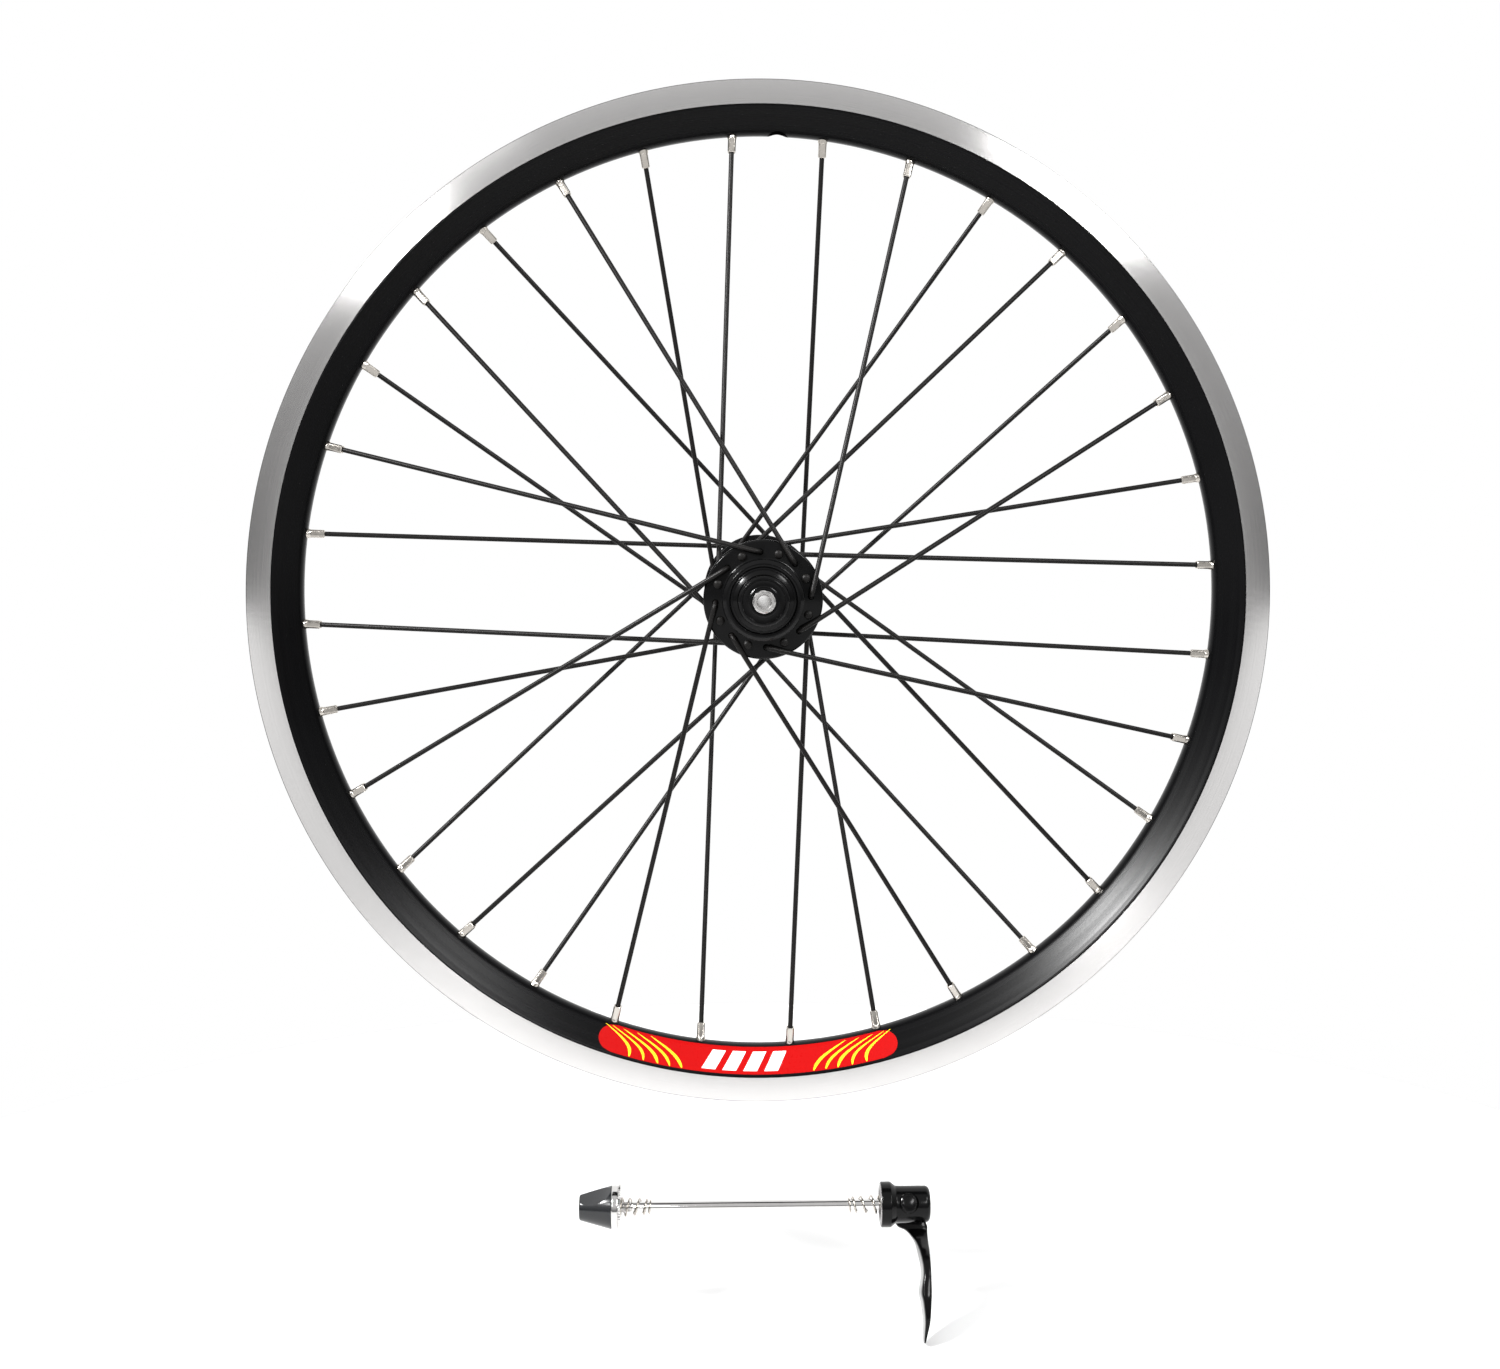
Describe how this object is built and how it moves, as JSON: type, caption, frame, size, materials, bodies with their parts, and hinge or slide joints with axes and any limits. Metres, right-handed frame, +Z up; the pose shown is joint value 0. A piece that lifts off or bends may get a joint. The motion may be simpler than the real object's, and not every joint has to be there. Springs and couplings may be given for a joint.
{
  "type": "bicycle front wheel with quick release skewer",
  "caption": "Spoked rim-brake bicycle front wheel with crossed lacing, cup-and-cone hub and hollow axle, with its cam lever skewer beside it.",
  "frame": {"origin": "centre of the hub, on the wheel's axis, midway between the locknut faces", "axes": "+Y along the axle from the left side to the right side, +Z up with the valve hole at the top, +X to the right as seen from the left side"},
  "size_m": [0.4194, 0.108, 0.5185],
  "materials": {
    "rim": "satin black anodised, with a bare turned aluminium brake track on each side",
    "label": "printed red film with a plain yellow and white pattern",
    "hub": "gloss black",
    "spoke": "black steel wire",
    "nipple": "nickel plated brass",
    "axle": "bright zinc plated steel",
    "hard_steel": "hardened ground steel",
    "balls": "polished bearing balls in a pressed steel ring",
    "seal": "matte black rubber",
    "locknut": "black steel",
    "dust_cap": "gloss black",
    "rod": "bright steel",
    "cam_black": "gloss black",
    "spring": "bright spring wire",
    "nut": "gloss black anodised",
    "chrome": "chrome"
  },
  "bodies": {
    "axle_set": {"axle": "axle", "left_cone": "hard_steel", "left_seal": "seal", "left_lock_washer": "hard_steel", "left_locknut": "locknut", "right_cone": "hard_steel", "right_seal": "seal", "right_lock_washer": "hard_steel", "right_locknut": "locknut"},
    "wheel": {"rim": "rim", "rim_label": "label", "hub_shell": "hub", "spoke_01": "spoke", "spoke_02": "spoke", "spoke_03": "spoke", "spoke_04": "spoke", "spoke_05": "spoke", "spoke_06": "spoke", "spoke_07": "spoke", "spoke_08": "spoke", "spoke_09": "spoke", "spoke_10": "spoke", "spoke_11": "spoke", "spoke_12": "spoke", "spoke_13": "spoke", "spoke_14": "spoke", "spoke_15": "spoke", "spoke_16": "spoke", "spoke_17": "spoke", "spoke_18": "spoke", "spoke_19": "spoke", "spoke_20": "spoke", "spoke_21": "spoke", "spoke_22": "spoke", "spoke_23": "spoke", "spoke_24": "spoke", "spoke_25": "spoke", "spoke_26": "spoke", "spoke_27": "spoke", "spoke_28": "spoke", "spoke_29": "spoke", "spoke_30": "spoke", "spoke_31": "spoke", "spoke_32": "spoke", "left_bearing_cup": "hard_steel", "left_dust_cap": "dust_cap", "right_bearing_cup": "hard_steel", "right_dust_cap": "dust_cap"},
    "left_cage": {"left_ball_retainer": "balls"},
    "right_cage": {"right_ball_retainer": "balls"},
    "skewer_head": {"cam_housing": "cam_black", "housing_face_ring": "hard_steel", "lever_side_spring": "spring"},
    "lever": {"cam_lever": "cam_black", "cam_pin": "cam_black"},
    "rod": {"skewer_rod": "rod"},
    "nut_spring": {"nut_side_spring": "spring"},
    "nut": {"adjusting_nut": "nut", "nut_face_ring": "chrome"}
  },
  "joints": [
    {"name": "wheel_spin", "type": "hinge", "parent": "axle_set", "child": "wheel", "pos_m": [0, 0, 0], "axis": [0, 1, 0], "continuous": true},
    {"name": "left_cage_spin", "type": "hinge", "parent": "axle_set", "child": "left_cage", "pos_m": [0, -0.0378, 0], "axis": [0, 1, 0], "continuous": true},
    {"name": "right_cage_spin", "type": "hinge", "parent": "axle_set", "child": "right_cage", "pos_m": [0, 0.0378, 0], "axis": [0, 1, 0], "continuous": true},
    {"name": "skewer_place", "type": "slide", "parent": "axle_set", "child": "skewer_head", "axis": [0, -1, 0], "range_m": [0, 0.12]},
    {"name": "lever_pivot", "type": "hinge", "parent": "skewer_head", "child": "lever", "pos_m": [0.0618, 0, -0.258], "axis": [0, -0.9135, 0.4067], "range_deg": [0, 180]},
    {"name": "rod_slide", "type": "slide", "parent": "skewer_head", "child": "rod", "axis": [-1, 0, 0], "range_m": [0, 0.00241]},
    {"name": "nut_travel", "type": "slide", "parent": "rod", "child": "nut_spring", "axis": [1, 0, 0], "range_m": [-0.00241, 0.00241]},
    {"name": "nut_turn", "type": "hinge", "parent": "nut_spring", "child": "nut", "pos_m": [-0.0628, 0, -0.258], "axis": [1, 0, 0], "range_deg": [-1080, 1080]}
  ],
  "couplings": [
    {"joint": "left_cage_spin", "follows": "wheel_spin", "ratio": 0.6},
    {"joint": "right_cage_spin", "follows": "wheel_spin", "ratio": 0.6},
    {"joint": "rod_slide", "follows": "lever_pivot", "m_per_rad": 0.00076394},
    {"joint": "nut_travel", "follows": "nut_turn", "m_per_rad": 0.00012732}
  ]
}
